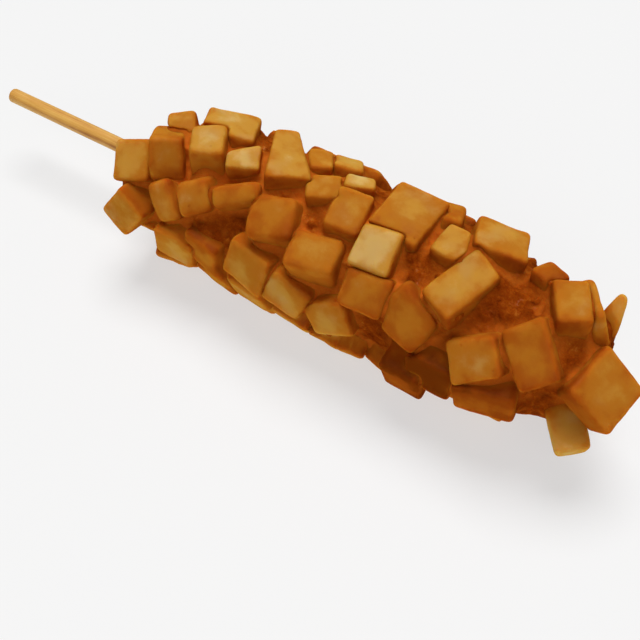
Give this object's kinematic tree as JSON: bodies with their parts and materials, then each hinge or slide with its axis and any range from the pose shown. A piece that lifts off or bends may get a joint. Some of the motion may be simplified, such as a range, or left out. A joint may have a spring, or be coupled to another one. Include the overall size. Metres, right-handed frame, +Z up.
{
  "type": "corn dog",
  "caption": "Fried corn dog on a round wooden stick, its batter coated all round with diced potato, lying on its side.",
  "frame": {"origin": "middle of the footprint of the lying corn dog, on the surface it rests on", "axes": "+X along the stick towards the food's tip, +Z up, so +Y points to the far side and the side with the single dice faces -Y and up"},
  "size_m": [0.2234, 0.055, 0.0536],
  "materials": {
    "stick": "bare, smooth, pale bamboo",
    "batter": "fried batter, dark reddish brown, lumpy and oily",
    "potato": "fried potato, golden with browner edges, slightly oily"
  },
  "bodies": {
    "root": {"stick": "stick", "batter": "batter", "potato_01": "potato", "potato_02": "potato", "potato_03": "potato", "potato_04": "potato", "potato_05": "potato", "potato_06": "potato", "potato_07": "potato", "potato_08": "potato", "potato_09": "potato", "potato_10": "potato", "potato_11": "potato", "potato_12": "potato", "potato_13": "potato", "potato_14": "potato", "potato_15": "potato", "potato_16": "potato", "potato_17": "potato", "potato_18": "potato", "potato_19": "potato", "potato_20": "potato", "potato_21": "potato", "potato_22": "potato", "potato_23": "potato", "potato_24": "potato", "potato_25": "potato", "potato_26": "potato", "potato_27": "potato", "potato_28": "potato", "potato_29": "potato", "potato_30": "potato", "potato_31": "potato", "potato_32": "potato", "potato_33": "potato", "potato_34": "potato", "potato_35": "potato", "potato_36": "potato", "potato_37": "potato", "potato_clump_01": "potato", "potato_clump_02": "potato", "potato_clump_03": "potato", "potato_clump_04": "potato", "potato_clump_05": "potato", "potato_clump_06": "potato", "potato_clump_07": "potato", "potato_clump_08": "potato", "potato_clump_09": "potato", "potato_clump_10": "potato", "potato_clump_11": "potato", "potato_clump_12": "potato", "potato_clump_13": "potato", "potato_clump_14": "potato", "potato_clump_15": "potato", "potato_clump_16": "potato", "potato_clump_17": "potato", "potato_clump_18": "potato", "potato_clump_19": "potato", "potato_clump_20": "potato", "potato_clump_21": "potato"}
  },
  "joints": []
}
